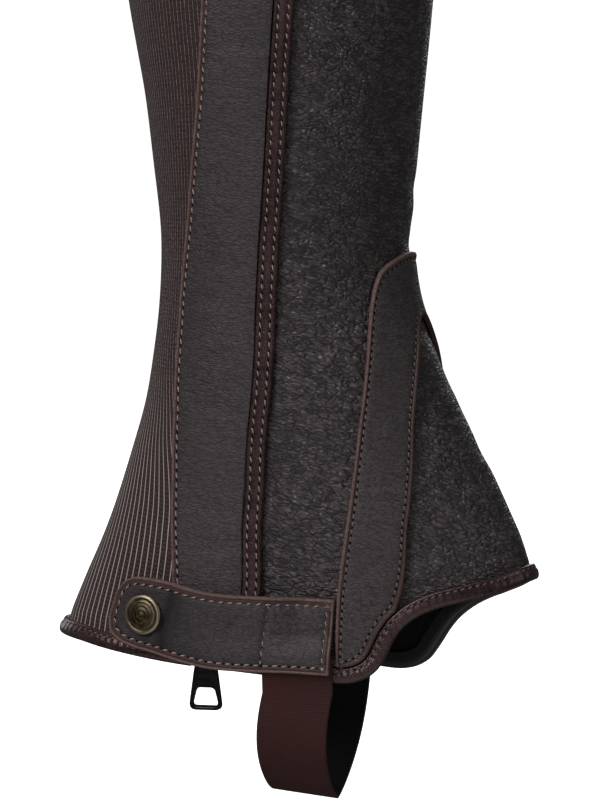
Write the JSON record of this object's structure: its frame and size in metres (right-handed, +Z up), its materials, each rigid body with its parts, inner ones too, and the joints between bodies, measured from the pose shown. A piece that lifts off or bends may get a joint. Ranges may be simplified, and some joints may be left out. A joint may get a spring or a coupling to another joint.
{
  "type": "leather half chap",
  "caption": "Hollow leather gaiter for the lower right leg with a ribbed elastic back, side zip under a flap, snap tab and stirrup strap.",
  "frame": {"origin": "on the leg's axis at the calf, 400 mm above the lowest point of the outer hem, where the calf holds the piece", "axes": "+X to the toes, -Y to the outer side of the leg, +Z up along the shin"},
  "size_m": [0.1824, 0.116, 0.4758],
  "materials": {
    "grained_leather": "matte, fine grain",
    "smooth_leather": "matte, smooth",
    "bound_leather": "semi-gloss",
    "ribbed_elastic": "ribbed weave",
    "webbing": "woven",
    "zip_tape": "woven",
    "gloss_black": "gloss",
    "aged_brass": "antique",
    "dark_steel": "satin"
  },
  "bodies": {
    "chap": {"calf_panel": "grained_leather", "instep_panel": "grained_leather", "instep_band": "smooth_leather", "elastic_panel": "ribbed_elastic", "zip_flap": "smooth_leather", "flap_binding": "bound_leather", "zip_tape_front": "zip_tape", "zip_tape_back": "zip_tape", "hem_binding": "bound_leather", "top_binding": "bound_leather", "snap_tab": "smooth_leather", "snap_cap": "aged_brass", "snap_stud": "dark_steel", "snap_rivet": "dark_steel", "zip_slider": "gloss_black", "stirrup_strap": "webbing"},
    "pull": {"zip_pull": "gloss_black"}
  },
  "joints": [
    {"name": "pull_swing", "type": "hinge", "parent": "chap", "child": "pull", "pos_m": [-0.01946, -0.03463, -0.3915], "axis": [-0.9985, 0.0548, 0], "range_deg": [-15, 12]}
  ]
}
